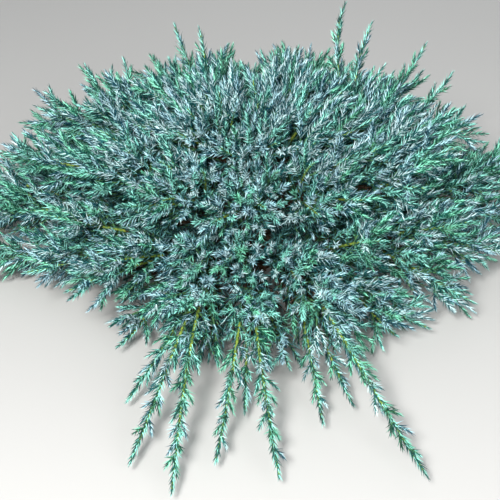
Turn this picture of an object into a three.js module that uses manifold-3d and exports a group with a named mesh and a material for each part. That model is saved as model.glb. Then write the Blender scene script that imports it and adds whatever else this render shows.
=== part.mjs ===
// A young flaky juniper of the carpet kind: a low, wide evergreen shrub that grows in the ground.
// A short leaning stem, hidden in the foliage, carries three tiers of boughs. A bough ends in a fork,
// where its mass of foliage begins: a fan of leaders, the side sprays that they carry all round, and a
// dense heart that both stand out of. One bough and its mass make one plume of the crown, and the
// plumes lie against each other in a mound with a ragged edge.
// Millimetres, Z up, origin at the centre of the stem's flat cut at ground level, front towards -Y.

import * as THREE from 'three';
import Module from 'manifold-3d';

const wasm = await Module();
wasm.setup();

// Driving dimensions, in millimetres and degrees
const SEED = 20417;
const GOLDEN_ANGLE = 137.508;
const CLEARANCE = 0.3; // between the stem and a bough, and between a bough's end and its mass

const MOUND_REACH = 340; // from the stem to the edge of the mound, at the sides and the back
const MOUND_DRAWN_IN = 145; // how much shorter that is straight to the front
const MOUND_FRONT_EASE = 0.4; // the lower, the wider the part that is drawn in
const MOUND_HEIGHT = 188;
const MOUND_FULLNESS = 0.45; // 0.5 is an ellipse, less is fuller at the edge

const STEM_HEIGHT = 104;
const STEM_RADIUS = 14;
const STEM_TIP_RADIUS = 6;
const STEM_LEAN = { right: 5, back: 9 }; // how far its tip stands out over its foot
const STEM_BEND = 1.4; // 1 is a straight lean, more keeps the foot upright
const FLARE_HEIGHT = 20;
const FLARE_RADIUS = 25;
const FLARE_LOBES = 5;
const FLARE_LOBE_DEPTH = 0.2;
const STEM_SIDES = 20;
const STEM_RINGS = [0, 4, 10, FLARE_HEIGHT, 46, 78, STEM_HEIGHT];

// Tiers of plumes. The boughs leave the stem at the root heights in turn, and narrow from the first
// radius to the second. A fan has one row a leader: the turn from the plume's azimuth, the tip's place
// as a share of the mound's reach, its height over the mound's surface, and how steeply it rises.
const SKIRT = {
  plumes: 11,
  firstAzimuth: -44,
  lastAzimuth: 224,
  forkReach: 0.3,
  forkHeight: 46,
  forkRise: 14,
  rootHeights: [22, 34],
  boughRadius: [3.6, 2.6],
  spraysShown: 4,
  fan: [
    [-9, 1.02, 26, -4],
    [7, 0.98, 10, 4],
    [1, 0.86, -4, 20],
  ],
};
const MIDDLE = {
  plumes: 9,
  firstAzimuth: -90,
  forkReach: 0.25,
  forkHeight: 94,
  forkRise: 32,
  rootHeights: [48, 58, 68],
  boughRadius: [3.9, 2.8],
  spraysShown: 5,
  fan: [
    [-13, 0.74, -2, 14],
    [8, 0.71, 2, 18],
    [-5, 0.55, 2, 34],
    [14, 0.53, 0, 38],
  ],
};
const CROWN = {
  plumes: 5,
  firstAzimuth: -90,
  forkReach: 0.09,
  forkHeight: 120,
  forkRise: 58,
  rootHeights: [76, 86, 96],
  boughRadius: [3.7, 2.7],
  spraysShown: 5,
  fan: [
    [-22, 0.37, 0, 40],
    [18, 0.39, 4, 38],
    [0, 0.25, 6, 60],
    [30, 0.1, 10, 74],
  ],
};

// The front plumes end in long runners that lie out over the ground: azimuth and reach of each tip.
const FRONT = {
  runners: [
    [[-107, 345], [-100, 370], [-114, 270]],
    [[-95, 329], [-86, 348], [-91, 262]],
    [[-77, 285], [-67, 376], [-70, 268]],
  ],
  tipHeight: 12,
  tipRise: -16,
  forkReach: 0.34,
  forkHeight: 56,
  forkRise: 24,
  boughRadius: [3.6, 2.6],
  spraysShown: 4,
  fan: [
    [7, 1.15, 30, -4],
    [-4, 0.88, 2, 18],
  ],
};

// Shoots that stand out above the mound: azimuth, reach and height of the tip.
const STANDING_SHOOTS = [
  [54, 172, 238],
  [47, 192, 216],
  [37, 240, 190],
  [32, 262, 158],
  [120, 162, 214],
  [111, 152, 208],
];
const STANDING_RISE = 52;

const UP = new THREE.Vector3(0, 0, 1);

// A repeatable run of numbers between low and high.
function seeded(seed) {
  let state = seed >>> 0;
  return (low, high) => {
    state = (Math.imul(state, 1664525) + 1013904223) >>> 0;
    return low + ((high - low) * state) / 2 ** 32;
  };
}

// A unit vector that points to an azimuth and rises above the horizontal.
function heading(azimuth, rise = 0) {
  const [a, r] = [azimuth, rise].map(THREE.MathUtils.degToRad);
  return new THREE.Vector3(Math.cos(a) * Math.cos(r), Math.sin(a) * Math.cos(r), Math.sin(r));
}

function placed(azimuth, reach, height) {
  return heading(azimuth).multiplyScalar(reach).setZ(height);
}

// Two unit vectors square to a direction: one level, to its right, and one that leans up.
function squareTo(direction) {
  const side = direction.clone().cross(UP).normalize();
  return { side, over: side.clone().cross(direction).normalize() };
}

// A curve that leaves start along one heading and arrives at end along another.
const ARCH_PULL = 0.36; // share of the span
function arch(start, startHeading, end, endHeading) {
  const pull = start.distanceTo(end) * ARCH_PULL;
  return new THREE.CubicBezierCurve3(
    start,
    start.clone().addScaledVector(startHeading, pull),
    end.clone().addScaledVector(endHeading, -pull),
    end,
  );
}

// Mound: its edge at an azimuth, and its surface at a share of the way out to that edge
function moundReach(azimuth) {
  const frontness = Math.max(0, -heading(azimuth).y) ** MOUND_FRONT_EASE;
  return MOUND_REACH - MOUND_DRAWN_IN * frontness;
}

function moundHeight(share) {
  return MOUND_HEIGHT * Math.max(0, 1 - share ** 2) ** MOUND_FULLNESS;
}

function depthUnderMound(point) {
  const azimuth = THREE.MathUtils.radToDeg(Math.atan2(point.y, point.x));
  return moundHeight(Math.hypot(point.x, point.y) / moundReach(azimuth)) - point.z;
}

// A closed solid through rings of points, all with the same count; a ring of one point is a tip.
// Each face between four points is folded along its shorter diagonal.
function loft(rings) {
  const points = rings.flat();
  const triangles = [];
  let start = 0;
  for (let i = 0; i + 1 < rings.length; i++) {
    const nextStart = start + rings[i].length;
    const count = Math.max(rings[i].length, rings[i + 1].length);
    for (let k = 0; k < count; k++) {
      const turn = (k + 1) % count;
      const [a, b] = rings[i].length > 1 ? [start + k, start + turn] : [start];
      const [d, c] = rings[i + 1].length > 1 ? [nextStart + k, nextStart + turn] : [nextStart];
      if (b === undefined) triangles.push(a, c, d);
      else if (c === undefined) triangles.push(a, b, d);
      else if (points[a].distanceTo(points[c]) < points[b].distanceTo(points[d])) {
        triangles.push(a, b, c, a, c, d);
      } else triangles.push(a, b, d, b, c, d);
    }
    start = nextStart;
  }
  const last = rings[rings.length - 1].length;
  for (let k = 1; k + 1 < rings[0].length; k++) triangles.push(0, k + 1, k);
  for (let k = 1; k + 1 < last; k++) triangles.push(start, start + k, start + k + 1);
  const mesh = new wasm.Mesh({
    numProp: 3,
    vertProperties: new Float32Array(points.flatMap((point) => point.toArray())),
    triVerts: new Uint32Array(triangles),
  });
  return new wasm.Manifold(mesh);
}

// Unit vectors square to a direction and evenly spread round it.
function waysRound(direction, count, turn = 0) {
  const { side, over } = squareTo(direction);
  return Array.from({ length: count }, (_, k) => {
    const angle = THREE.MathUtils.degToRad(turn + (k / count) * 360);
    return over.clone().multiplyScalar(Math.cos(angle)).addScaledVector(side, Math.sin(angle));
  });
}

function ringRound(centre, direction, radius, sides, turn) {
  return waysRound(direction, sides, turn).map((away) => centre.clone().addScaledVector(away, radius));
}

// A limb along a curve. Its stations give the radius at shares of the curve.
function limb(curve, stations, sides) {
  return loft(
    stations.map(([share, radius]) => {
      const centre = curve.getPoint(share);
      return radius > 0 ? ringRound(centre, curve.getTangent(share), radius, sides) : [centre];
    }),
  );
}

// Stem: narrows and leans as it rises, and spreads into lobes at its foot, where the roots begin
function stemCentre(height) {
  const share = (height / STEM_HEIGHT) ** STEM_BEND;
  return new THREE.Vector3(STEM_LEAN.right * share, STEM_LEAN.back * share, height);
}

function stemSolid(skin) {
  const rings = STEM_RINGS.map((height, i) => {
    const flare = Math.max(0, 1 - height / FLARE_HEIGHT);
    const plain = THREE.MathUtils.mapLinear(height, 0, STEM_HEIGHT, STEM_RADIUS, STEM_TIP_RADIUS);
    return Array.from({ length: STEM_SIDES }, (_, k) => {
      const angle = (k / STEM_SIDES) * 360;
      const wave = Math.cos(THREE.MathUtils.degToRad(FLARE_LOBES * angle));
      const lobe = 1 + FLARE_LOBE_DEPTH * flare * wave;
      const radius = (plain + (FLARE_RADIUS - STEM_RADIUS) * flare ** 2) * lobe;
      return stemCentre(height + (i ? skin : 0)).addScaledVector(heading(angle), radius + skin);
    });
  });
  return loft(rings);
}

// Plan: where each plume's bough leaves the stem and forks, and where its leaders end
const BOUGH_OPENING = 10; // how much steeper a bough leaves the stem than it forks, in degrees
function planPlume(name, tier, azimuth, rootHeight, tips) {
  const fork = placed(azimuth, tier.forkReach * moundReach(azimuth), tier.forkHeight);
  const forkHeading = heading(azimuth, tier.forkRise);
  const leaderTo = ([tip, tipHeading]) => arch(fork, forkHeading, tip, tipHeading);
  return {
    name,
    boughRadius: tier.boughRadius,
    spraysShown: tier.spraysShown,
    bough: arch(stemCentre(rootHeight), heading(azimuth, tier.forkRise + BOUGH_OPENING), fork, forkHeading),
    leaders: tips.map(leaderTo),
    leaderTo,
  };
}

// Chance moves a leader's tip by so much: in degrees, as a share of its reach, and in millimetres.
const TIP_CHANCE = { turn: 3, reach: 0.04, down: 5, up: 7, rise: 6 };
const LOWEST_TIP = 14;
const FAN_OPENING = 1.5; // how much further a leader's tip turns than its place
function fanTips(tier, azimuth, random) {
  return tier.fan.map(([turn, share, lift, rise]) => {
    const tipAzimuth = azimuth + turn + random(-TIP_CHANCE.turn, TIP_CHANCE.turn);
    const tipShare = share * random(1 - TIP_CHANCE.reach, 1 + TIP_CHANCE.reach);
    const height = moundHeight(tipShare) + lift + random(-TIP_CHANCE.down, TIP_CHANCE.up);
    const tip = placed(tipAzimuth, tipShare * moundReach(tipAzimuth), Math.max(height, LOWEST_TIP));
    const tipRise = rise + random(-TIP_CHANCE.rise, TIP_CHANCE.rise);
    return [tip, heading(azimuth + turn * FAN_OPENING, tipRise)];
  });
}

function planSkirt(random) {
  const front = FRONT.runners.map((runners) => {
    const azimuth = runners.reduce((sum, [each]) => sum + each, 0) / runners.length;
    const tips = runners.map(([each, reach]) => [
      placed(each, reach, FRONT.tipHeight),
      heading(each + (each - azimuth), FRONT.tipRise),
    ]);
    return { tier: FRONT, azimuth, tips: [...tips, ...fanTips(FRONT, azimuth, random)] };
  });
  const sides = Array.from({ length: SKIRT.plumes }, (_, i) => {
    const share = i / (SKIRT.plumes - 1);
    const azimuth = THREE.MathUtils.lerp(SKIRT.firstAzimuth, SKIRT.lastAzimuth, share);
    return { tier: SKIRT, azimuth, tips: fanTips(SKIRT, azimuth, random) };
  });
  return [...front, ...sides].map(({ tier, azimuth, tips }, i) =>
    planPlume(`skirt_${i + 1}`, tier, azimuth, SKIRT.rootHeights[i % SKIRT.rootHeights.length], tips),
  );
}

function planTier(name, tier, random) {
  return Array.from({ length: tier.plumes }, (_, i) => {
    const azimuth = tier.firstAzimuth + (i * 360) / tier.plumes;
    const rootHeight = tier.rootHeights[i % tier.rootHeights.length];
    return planPlume(`${name}_${i + 1}`, tier, azimuth, rootHeight, fanTips(tier, azimuth, random));
  });
}

const planning = seeded(SEED);
const plumes = [
  ...planSkirt(planning),
  ...planTier('middle', MIDDLE, planning),
  ...planTier('crown', CROWN, planning),
];
for (const [azimuth, reach, height] of STANDING_SHOOTS) {
  const tip = placed(azimuth, reach, height);
  const farness = (plume) => Math.min(...plume.leaders.map(({ v3 }) => v3.distanceTo(tip)));
  const bearer = plumes.reduce((best, plume) => (farness(plume) < farness(best) ? plume : best));
  bearer.leaders.push(bearer.leaderTo([tip, heading(azimuth, STANDING_RISE)]));
}

// Each plume keeps to its own space: the points nearer to its leaders than to any other limb.
const STEM_SPACE = { reach: 24, height: STEM_HEIGHT + 6 };
const LOWEST_FOLIAGE = 2;
const CHORDS = 8;
const chords = (curve) => {
  const points = curve.getPoints(CHORDS);
  return points.slice(1).map((point, i) => new THREE.Line3(points[i], point));
};
for (const plume of plumes) {
  plume.leaderChords = plume.leaders.flatMap(chords);
  plume.boughChords = chords(plume.bough);
}

const foot = new THREE.Vector3();
function distanceTo(lines, point) {
  const squares = lines.map((line) => {
    line.closestPointToPoint(point, true, foot);
    return foot.distanceToSquared(point);
  });
  return Math.sqrt(Math.min(...squares));
}

function insideSpace(own, point, margin) {
  if (point.z < LOWEST_FOLIAGE + margin) return false;
  if (point.z < STEM_SPACE.height && Math.hypot(point.x, point.y) < STEM_SPACE.reach) return false;
  const reach = distanceTo(own.leaderChords, point) + margin;
  if (distanceTo(own.boughChords, point) < Math.min(reach, own.boughRadius[0] + margin)) return false;
  return plumes.every(
    (other) =>
      other === own ||
      (distanceTo(other.leaderChords, point) > reach && distanceTo(other.boughChords, point) > reach),
  );
}

// Side sprays leave a leader all round by the golden angle. They get shorter towards its tip.
const SPRAY_SPACING = 13.5;
const SPRAY_LENGTH = { first: 84, last: 30 };
const BARE_LEADER_TIP = 34;
const SPRAY_OPENING = [38, 56];
const SPRAY_ROLL_CHANCE = 18;
const SPRAY_PLACE_CHANCE = [0.25, 0.75]; // shares of the spacing
const SPRAY_SIZE_CHANCE = [0.8, 1.12];

function sprayPlan(leader, random) {
  const length = leader.getLength();
  const count = Math.floor((length - BARE_LEADER_TIP) / SPRAY_SPACING);
  return Array.from({ length: count }, (_, i) => {
    const share = (i + random(...SPRAY_PLACE_CHANCE)) / count;
    const fullLength = THREE.MathUtils.lerp(SPRAY_LENGTH.first, SPRAY_LENGTH.last, share);
    return {
      along: share * (1 - BARE_LEADER_TIP / length),
      roll: i * GOLDEN_ANGLE + random(-SPRAY_ROLL_CHANCE, SPRAY_ROLL_CHANCE),
      opening: random(...SPRAY_OPENING),
      length: fullLength * random(...SPRAY_SIZE_CHANCE),
    };
  });
}

// An offshoot opens from its parent curve, then bends forwards along it and up to the light.
const FORWARD_BEND = 1.1;
const BEND_PLACE = 0.5; // share of the offshoot's length
const FIRST_LIFT = 0.5; // share of the lift that it already has when it leaves
function offshoot(parent, { along, roll, opening, length }, lift) {
  const forward = parent.getTangent(along);
  const { side, over } = squareTo(forward);
  const [rolled, opened] = [roll, opening].map(THREE.MathUtils.degToRad);
  const away = over.multiplyScalar(Math.cos(rolled)).addScaledVector(side, Math.sin(rolled));
  const leaving = forward
    .clone()
    .multiplyScalar(Math.cos(opened))
    .addScaledVector(away, Math.sin(opened))
    .addScaledVector(UP, lift * FIRST_LIFT)
    .normalize();
  const ending = leaving
    .clone()
    .addScaledVector(forward, FORWARD_BEND)
    .addScaledVector(UP, lift)
    .normalize();
  const root = parent.getPoint(along);
  const bend = root.clone().addScaledVector(leaving, length * BEND_PLACE);
  const tip = bend.clone().addScaledVector(ending, length * (1 - BEND_PLACE));
  return new THREE.QuadraticBezierCurve3(root, bend, tip);
}

// The longest form of a spray that stays in its plume's space, or nothing.
const SPRAY_LIFT = 0.05;
const SPRAY_SIZES = [1, 0.85, 0.7, 0.55, 0.42];
const SPRAY_TESTS = [0.35, 0.6, 0.8, 1]; // shares of the spray that must lie inside
function fittedSpray(own, leader, spray, margin) {
  for (const shrunk of SPRAY_SIZES) {
    const curve = offshoot(leader, { ...spray, length: spray.length * shrunk }, SPRAY_LIFT);
    if (SPRAY_TESTS.every((share) => insideSpace(own, curve.getPoint(share), margin))) {
      return curve;
    }
  }
  return null;
}

// Heart of a mass: dense foliage round the middle of its leaders, which keeps within its space and
// under the mound. Its surface breaks up into tufts that lean towards the tips, with hollows between.
const HEART_FIRST = 0.1; // its first and last ring, and the points that close it, as leaders' shares
const HEART_LAST = 0.8;
const HEART_ENDS = [0.04, 0.9];
const HEART_PITCH = 30;
const HEART_SIDES = 10;
const HEART_WIDEST = 58;
const HEART_DEPTH = 8; // under the mound's surface
const HEART_STEP = 3;
const HEART_MARGIN = 1; // from the edge of its space
const TUFT_FILL = 0.92; // how far a tuft reaches into the space on its side
const HOLLOW_FILL = 0.42;
const TUFT_LEAN = 0.45;
const HEART_TAPER = { first: 0.27, last: 0.77, fullness: 0.7 }; // parts of a sine's half wave

function roomOutTo(own, centre, away) {
  let room = HEART_STEP;
  while (room < HEART_WIDEST) {
    const next = centre.clone().addScaledVector(away, room + HEART_STEP);
    if (!insideSpace(own, next, HEART_MARGIN) || depthUnderMound(next) < HEART_DEPTH) break;
    room += HEART_STEP;
  }
  return room;
}

const HALF_STEP = 0.05; // for the heading of the heart's middle line
function heartSolid(own) {
  const at = (share) =>
    own.leaders
      .reduce((sum, leader) => sum.add(leader.getPoint(share)), new THREE.Vector3())
      .divideScalar(own.leaders.length);
  const count = Math.round(at(HEART_LAST).distanceTo(at(HEART_FIRST)) / HEART_PITCH);
  const rings = Array.from({ length: count + 1 }, (_, j) => {
    const share = THREE.MathUtils.lerp(HEART_FIRST, HEART_LAST, j / count);
    const direction = at(share + HALF_STEP).sub(at(share - HALF_STEP)).normalize();
    const wave = THREE.MathUtils.lerp(HEART_TAPER.first, HEART_TAPER.last, j / count);
    const taper = Math.sin(Math.PI * wave) ** HEART_TAPER.fullness;
    return waysRound(direction, HEART_SIDES).map((away, k) => {
      const room = roomOutTo(own, at(share), away) * taper;
      const tuft = (j + k) % 2 === 0;
      return at(share)
        .addScaledVector(away, room * (tuft ? TUFT_FILL : HOLLOW_FILL))
        .addScaledVector(direction, tuft ? room * TUFT_LEAN : 0);
    });
  });
  const [foot, top] = HEART_ENDS.map(at);
  return loft([[foot], ...rings, [top]]);
}

// Masses: leaders and sprays are slim and three-sided. Where they stand out of the heart they carry
// whorls of three teeth that point to the tip, each the size of several needles.
const TWIG_RADIUS = { leader: 2.6, spray: 1.6, tip: 1.3 };
const TOOTH_REACH = 7.4;
const TOOTH_MARGIN = 1; // between the teeth and the edge of the mass's space
const TOOTH_LOSS = 0.25; // how much shorter the teeth at the tip are
const WHORL_PITCH = 29;
const WHORL_OVERLAP = 0.25; // how far its teeth reach past the root of the next, in pitches
const TIP_LENGTH = 10;
const LEAST_SHOWN = 13; // a spray that stands out by less is left out
const SHADE_DEPTH = 40; // sprays that end deeper in the mound have died off in the shade
const LEAST_BARE = { leader: 0.3, spray: 0.15 }; // share that carries no teeth
const SHORTEST_EDGE = 0.03;

// The share of a curve at which it leaves a closed body for good.
const SEEKING_STEP = 0.03;
const seeker = new THREE.Raycaster();
function leavingShare(curve, body) {
  for (let share = 1 - SEEKING_STEP; share > 0; share -= SEEKING_STEP) {
    seeker.set(curve.getPoint(share), UP);
    if (seeker.intersectObject(body).length % 2) return share;
  }
  return 0;
}

// Twigs that leave one root start further along and turned, so that none of their faces coincide.
const ROOT_STEP = 0.012; // share of the curve
const ROOT_TURN = 31; // degrees
const WHORL_TURN = 60;

function toothedTwig(curve, rootRadius, bareShare, rank = 0) {
  const length = curve.getLength();
  const start = rank * ROOT_STEP;
  const rootTurn = (rank * ROOT_TURN) % WHORL_TURN;
  const last = 1 - TIP_LENGTH / length;
  const count = Math.max(1, Math.round(((last - bareShare) * length) / WHORL_PITCH));
  const pitch = (last - bareShare) / (count + WHORL_OVERLAP);
  const rings = [ringRound(curve.getPoint(start), curve.getTangent(start), rootRadius, 3, rootTurn)];
  for (let number = 0; number < count; number++) {
    const slimness = number / count;
    const radius = THREE.MathUtils.lerp(rootRadius, TWIG_RADIUS.tip, slimness);
    const reach = TOOTH_REACH * (1 - TOOTH_LOSS * slimness);
    const root = bareShare + number * pitch;
    const tips = root + (1 + WHORL_OVERLAP) * pitch;
    const turn = number * WHORL_TURN;
    rings.push(ringRound(curve.getPoint(root), curve.getTangent(root), radius, 3, turn));
    rings.push(ringRound(curve.getPoint(tips), curve.getTangent(tips), reach, 3, turn));
  }
  return loft([...rings, [curve.getPoint(1)]]);
}

function massSolid(own, random) {
  const heart = heartSolid(own);
  const body = new THREE.Mesh(geometryOf(heart), new THREE.MeshBasicMaterial({ side: THREE.DoubleSide }));
  const parts = [heart];
  own.leaders.forEach((leader, rank) => {
    const bareLeader = Math.max(leavingShare(leader, body), LEAST_BARE.leader);
    parts.push(toothedTwig(leader, TWIG_RADIUS.leader, bareLeader, rank));
    sprayPlan(leader, random).forEach((spray, i) => {
      if ((i + 1) % own.spraysShown) return;
      const curve = fittedSpray(own, leader, spray, TOOTH_REACH + TOOTH_MARGIN);
      if (!curve || depthUnderMound(curve.getPoint(1)) > SHADE_DEPTH) return;
      const bare = Math.max(leavingShare(curve, body), LEAST_BARE.spray);
      if ((1 - bare) * curve.getLength() < LEAST_SHOWN) return;
      parts.push(toothedTwig(curve, TWIG_RADIUS.spray, bare));
    });
  });
  return onlyBody(parts.reduce((whole, part) => whole.add(part)).simplify(SHORTEST_EDGE));
}

const BOUGH_SIDES = 5;
const BOUGH_RINGS = [0, 0.35, 0.7]; // shares of the bough, before its end
function boughSolid({ bough, boughRadius: [thick, thin] }, stemSkin) {
  const shares = [...BOUGH_RINGS, 1 - CLEARANCE / bough.getLength()];
  const stations = shares.map((share) => [share, THREE.MathUtils.lerp(thick, thin, share)]);
  return onlyBody(limb(bough, stations, BOUGH_SIDES).subtract(stemSkin));
}

// The largest body of a cut or fused solid. Loose scraps and sealed hollows are dropped.
function onlyBody(solid) {
  return solid.decompose().reduce((best, body) => (body.volume() > best.volume() ? body : best));
}

function geometryOf(solid) {
  const { numProp, vertProperties, triVerts } = solid.getMesh();
  const geometry = new THREE.BufferGeometry();
  const properties = new THREE.InterleavedBuffer(vertProperties, numProp);
  geometry.setAttribute('position', new THREE.InterleavedBufferAttribute(properties, 3, 0));
  geometry.setIndex(new THREE.BufferAttribute(triVerts, 1));
  geometry.computeVertexNormals();
  return geometry;
}

// Assembly
const bark = new THREE.MeshStandardMaterial({ color: 0x6a4a36, roughness: 0.9, metalness: 0 });
const needles = new THREE.MeshStandardMaterial({ color: 0x5a8f8c, roughness: 0.6, metalness: 0 });

const juniper = new THREE.Group();
function addPart(name, solid, material) {
  const mesh = new THREE.Mesh(geometryOf(solid), material);
  mesh.name = name;
  juniper.add(mesh);
}

addPart('stem', stemSolid(0), bark);
const stemSkin = stemSolid(CLEARANCE);
plumes.forEach((plume, i) => {
  addPart(`bough_${plume.name}`, boughSolid(plume, stemSkin), bark);
  addPart(`foliage_${plume.name}`, massSolid(plume, seeded(SEED + 1 + i)), needles);
});

export default juniper;
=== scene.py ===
import math
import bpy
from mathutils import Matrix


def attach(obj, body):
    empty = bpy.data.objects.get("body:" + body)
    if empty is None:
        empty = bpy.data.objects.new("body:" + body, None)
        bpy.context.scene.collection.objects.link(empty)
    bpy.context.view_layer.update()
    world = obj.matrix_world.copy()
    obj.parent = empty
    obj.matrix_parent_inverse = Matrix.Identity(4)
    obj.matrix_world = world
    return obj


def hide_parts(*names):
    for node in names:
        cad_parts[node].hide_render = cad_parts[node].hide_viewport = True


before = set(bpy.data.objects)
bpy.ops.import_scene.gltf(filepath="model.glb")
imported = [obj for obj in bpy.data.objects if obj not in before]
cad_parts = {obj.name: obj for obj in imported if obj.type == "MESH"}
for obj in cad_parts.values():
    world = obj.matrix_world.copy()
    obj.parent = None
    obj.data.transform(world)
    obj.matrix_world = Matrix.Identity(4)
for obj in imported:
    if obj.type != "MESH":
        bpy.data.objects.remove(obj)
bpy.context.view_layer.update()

from types import SimpleNamespace

import bpy
import numpy as np
from mathutils import Vector, noise

# Stem
# The short woody foot of the shrub, hidden in its foliage. It leans a little, tapers, and spreads
# into lobes where the roots begin. Its bark peels in thin upright strips.
METRE = 0.001  # the growth is worked out in millimetres
STEM_HEIGHT = 104.0
STEM_RADIUS = 14.0
STEM_TIP_RADIUS = 6.0
STEM_LEAN = np.array([5.0, 9.0])
STEM_LEAN_POWER = 1.4
STEM_SIDES = 72
STEM_RELIEF = 1.6
STEM_DOME = [(1.2, 0.86), (2.4, 0.6), (3.0, 0.25)]  # height over the stem's top, share of its radius
SHAFT_RINGS = 40
SHAFT_START = 2.0  # from the top of the flare to the first ring above it
FLARE_RINGS = 16
FLARE_HEIGHT = 20.0
FLARE_RADIUS = 25.0
FLARE_LOBES = 5
LOBE_DEPTH = 0.2
RIDGES = SimpleNamespace(across=0.55, along=0.035, height=0.55)
FLAKES = SimpleNamespace(across=0.3, along=0.09, height=0.4, start=0.12, place=9)
GRAIN_STRETCH = 0.12


def stem_centre(height):
    share = (height / STEM_HEIGHT) ** STEM_LEAN_POWER
    return np.array([*(STEM_LEAN * share), height])


def stem_radius(height, angle):
    flare = max(0.0, 1 - height / FLARE_HEIGHT)
    plain = STEM_RADIUS + (STEM_TIP_RADIUS - STEM_RADIUS) * height / STEM_HEIGHT
    lobe = 1 + LOBE_DEPTH * flare * math.cos(FLARE_LOBES * angle)
    return (plain + (FLARE_RADIUS - STEM_RADIUS) * flare**2) * lobe


def bark_relief(angle, radius, along, offset):
    """How far the bark stands out: ridges that run with the wood, and loose flakes over them."""
    around = Vector((math.cos(angle) * radius, math.sin(angle) * radius, 0))
    ridge_place = Vector((0, 0, along * RIDGES.along + offset))
    flake_place = Vector((FLAKES.place, 0, along * FLAKES.along + offset))
    ridges = noise.noise(around * RIDGES.across + ridge_place)
    flakes = noise.noise(around * FLAKES.across + flake_place)
    return RIDGES.height * ridges + FLAKES.height * max(0.0, flakes - FLAKES.start) ** 0.5


class Wood:
    """Limbs that are made ring by ring into one mesh, with a grain that runs along each."""

    def __init__(self):
        self.points, self.faces, self.grain = [], [], []

    def limb(self, centres, radius, sides, offset, relief, level=False):
        """A closed limb through its centres. radius gives the bare size at a ring and an angle."""
        start = len(self.points)
        along = 0.0
        frames = frames_along(centres, level)
        for i, (centre, (side, over)) in enumerate(zip(centres, frames)):
            along += np.linalg.norm(centre - centres[i - 1]) if i else 0.0
            for k in range(sides):
                angle = 2 * math.pi * k / sides
                bare = radius(i, angle)
                size = bare + relief * bark_relief(angle, bare, along, offset)
                self.points.append(centre + size * (math.cos(angle) * side + math.sin(angle) * over))
                around = (math.cos(angle) * bare, math.sin(angle) * bare)
                self.grain.append((*around, along * GRAIN_STRETCH + offset))
        for i in range(len(centres) - 1):
            for k in range(sides):
                a, b = start + i * sides + k, start + i * sides + (k + 1) % sides
                self.faces.append((a, b, b + sides, a + sides))
        last = start + (len(centres) - 1) * sides
        self.faces.append(tuple(reversed(range(start, start + sides))))
        self.faces.append(tuple(range(last, last + sides)))

    def piece(self, name, material):
        mesh = bpy.data.meshes.new(name)
        mesh.from_pydata((np.array(self.points) * METRE).tolist(), [], self.faces)
        grain = mesh.attributes.new("grain", "FLOAT_VECTOR", "POINT")
        grain.data.foreach_set("vector", np.array(self.grain, np.float32).ravel())
        mesh.polygons.foreach_set("use_smooth", [len(face) == 4 for face in self.faces])
        mesh.materials.append(material)
        obj = bpy.data.objects.new(name, mesh)
        bpy.context.scene.collection.objects.link(obj)
        return obj


def frames_along(centres, level):
    """Two unit vectors square to the path at each centre, or level, carried on without a twist."""
    centres = np.array(centres)
    if level:
        return [(np.array([1.0, 0, 0]), np.array([0, 1.0, 0]))] * len(centres)
    runs = np.gradient(centres, axis=0)
    runs /= np.linalg.norm(runs, axis=1)[:, None]
    side = np.cross(runs[0], [0, 0, 1.0])
    frames = []
    for run in runs:
        side = side - run * side.dot(run)
        side = side / np.linalg.norm(side)
        frames.append((side, np.cross(run, side)))
    return frames


class Value:
    """A node's output that can stand in plain arithmetic."""

    def __init__(self, graph, socket):
        self.graph, self.socket = graph, socket

    def out(self, name):
        return Value(self.graph, self.socket.node.outputs[name])

    def __add__(self, other):
        return self.graph.math("ADD", self, other)

    def __sub__(self, other):
        return self.graph.math("SUBTRACT", self, other)

    def __rsub__(self, other):
        return self.graph.math("SUBTRACT", other, self)

    def __mul__(self, other):
        return self.graph.math("MULTIPLY", self, other)

    __radd__, __rmul__ = __add__, __mul__


class Graph:
    """A tree of nodes, for a material, for the sky or for geometry."""

    def __init__(self, tree):
        self.tree = tree

    def add(self, kind, settings=None, inputs=None):
        """One node, with its settings made first and then its sockets filled or linked."""
        node = self.tree.nodes.new(kind)
        for name, value in (settings or {}).items():
            if name == "stops":
                for stop, (position, colour) in zip(ramp_stops(node, len(value)), value):
                    stop.position, stop.color = position, (*colour, 1)
            else:
                setattr(node, name, value)
        for key, value in (inputs or {}).items():
            if isinstance(value, Value):
                self.tree.links.new(value.socket, node.inputs[key])
            else:
                node.inputs[key].default_value = value
        return Value(self, node.outputs[0]) if node.outputs else None

    def math(self, operation, first, second):
        return self.add("ShaderNodeMath", {"operation": operation}, {0: first, 1: second})


def ramp_stops(node, count):
    while len(node.color_ramp.elements) < count:
        node.color_ramp.elements.new(0.5)
    return node.color_ramp.elements


def paint(red, green, blue):
    """A colour as a screen shows it, from 0 to 255, made ready for a shader."""
    shares = [value / 255 for value in (red, green, blue)]
    return tuple(s / 12.92 if s <= 0.04045 else ((s + 0.055) / 1.055) ** 2.4 for s in shares)


def new_material(name):
    material = bpy.data.materials.new(name)
    material.use_nodes = True
    material.node_tree.nodes.clear()
    return material, Graph(material.node_tree)


def bark_finish():
    material, graph = new_material("flaky_bark")
    grain = graph.add("ShaderNodeAttribute", {"attribute_name": "grain"}).out("Vector")
    fibres = graph.add(
        "ShaderNodeTexNoise", None, {"Vector": grain, "Scale": 1.1, "Detail": 5.0, "Roughness": 0.65}
    )
    strips = graph.add("ShaderNodeTexNoise", None, {"Vector": grain, "Scale": 0.35, "Detail": 2.0})
    colour = graph.add(
        "ShaderNodeValToRGB",
        {"stops": [(0.3, paint(34, 24, 18)), (0.5, paint(78, 56, 42)), (0.72, paint(126, 100, 80))]},
        {"Fac": fibres * 0.65 + strips * 0.4},
    )
    bump = graph.add("ShaderNodeBump", None, {"Strength": 0.6, "Distance": 0.0006, "Height": fibres})
    shader = graph.add(
        "ShaderNodeBsdfPrincipled",
        None,
        {"Base Color": colour, "Roughness": strips * 0.2 + 0.72, "Normal": bump, "Specular IOR Level": 0.25},
    )
    graph.add("ShaderNodeOutputMaterial", None, {"Surface": shader})
    return material


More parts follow.
